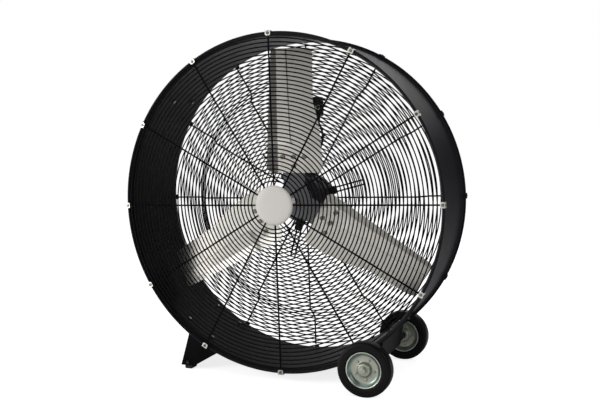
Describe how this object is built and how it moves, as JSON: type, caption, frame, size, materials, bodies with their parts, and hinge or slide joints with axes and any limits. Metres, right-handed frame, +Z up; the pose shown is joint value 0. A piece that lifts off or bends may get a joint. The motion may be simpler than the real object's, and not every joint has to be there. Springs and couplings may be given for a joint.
{
  "type": "drum fan",
  "caption": "Portable direct-drive drum fan: round steel drum with wire guards, bladed rotor and rear motor, on a wheel pair and a rubber-footed bracket.",
  "frame": {"origin": "on the floor, under the middle of the drum and of the whole part's footprint", "axes": "+Z up; the drum axis runs along Y and the fan blows towards -Y, its front; +X is to the right seen from the front, the wheels' side"},
  "size_m": [1.0102, 0.4696, 1.0281],
  "materials": {
    "drum": "satin black powder coat",
    "guard": "satin black powder coat on welded wire",
    "zinc": "bright zinc plate",
    "clip_black": "satin black",
    "badge": "warm white, smooth",
    "rubber": "matt black rubber",
    "motor": "satin dark grey paint",
    "steel": "ground steel",
    "copper": "enamelled copper winding",
    "box_plastic": "fine-textured black plastic",
    "knob": "black plastic",
    "cable": "black rubber sheath",
    "spider": "dark grey paint",
    "blade": "mill-finish aluminium sheet, faintly brushed",
    "tyre": "black solid rubber"
  },
  "bodies": {
    "fan_body": {"drum_shell": "drum", "front_grille_spokes": "guard", "front_grille_rings": "guard", "rear_grille_spokes": "guard", "rear_grille_rings": "guard", "front_clips": "zinc", "rear_clips": "clip_black", "center_badge": "badge", "badge_screws": "zinc", "mount_rods": "guard", "motor_mount_band": "motor", "mount_dampers": "rubber", "mount_bolts": "zinc", "motor_casing": "motor", "motor_front_endbell": "motor", "motor_rear_endbell": "motor", "endbell_screws": "zinc", "stator_core": "steel", "stator_windings": "copper", "motor_front_bearing": "steel", "motor_rear_bearing": "steel", "terminal_box": "motor", "terminal_box_lid": "motor", "switch_box": "box_plastic", "switch_box_cover": "box_plastic", "cover_screws": "zinc", "switch_box_screws": "zinc", "rotary_switch": "box_plastic", "motor_lead": "cable", "cable_glands": "knob", "cable_ties": "knob", "foot_bracket": "drum", "foot_pads": "rubber", "foot_pad_bolts": "zinc", "foot_bolts": "zinc", "axle_bracket": "drum", "axle_bracket_bolts": "zinc", "axle": "zinc", "axle_spacers": "drum", "axle_nuts": "zinc", "handle": "drum", "handle_bolts": "zinc"},
    "rotor": {"motor_shaft": "steel", "rotor_core": "steel", "hub": "spider", "spider": "spider", "hub_bolts": "zinc", "blade_1": "blade", "blade_2": "blade", "blade_3": "blade", "blade_bolts": "zinc"},
    "wheel_front": {"wheel_front_tyre": "tyre", "wheel_front_rim": "zinc", "wheel_front_rivets": "zinc", "wheel_front_bush": "knob"},
    "wheel_rear": {"wheel_rear_tyre": "tyre", "wheel_rear_rim": "zinc", "wheel_rear_rivets": "zinc", "wheel_rear_bush": "knob"},
    "knob": {"speed_knob": "knob"}
  },
  "joints": [
    {"name": "rotor_spin", "type": "hinge", "parent": "fan_body", "child": "rotor", "pos_m": [0, 0, 0.523], "axis": [0, 1, 0], "continuous": true},
    {"name": "wheel_front_spin", "type": "hinge", "parent": "fan_body", "child": "wheel_front", "pos_m": [0.287, -0.207, 0.078], "axis": [0, 1, 0], "continuous": true},
    {"name": "wheel_rear_spin", "type": "hinge", "parent": "fan_body", "child": "wheel_rear", "pos_m": [0.287, 0.207, 0.078], "axis": [0, 1, 0], "continuous": true},
    {"name": "knob_turn", "type": "hinge", "parent": "fan_body", "child": "knob", "pos_m": [0.0125, 0.15, 0.809], "axis": [0, -1, 0], "range_deg": [0, 135]}
  ]
}
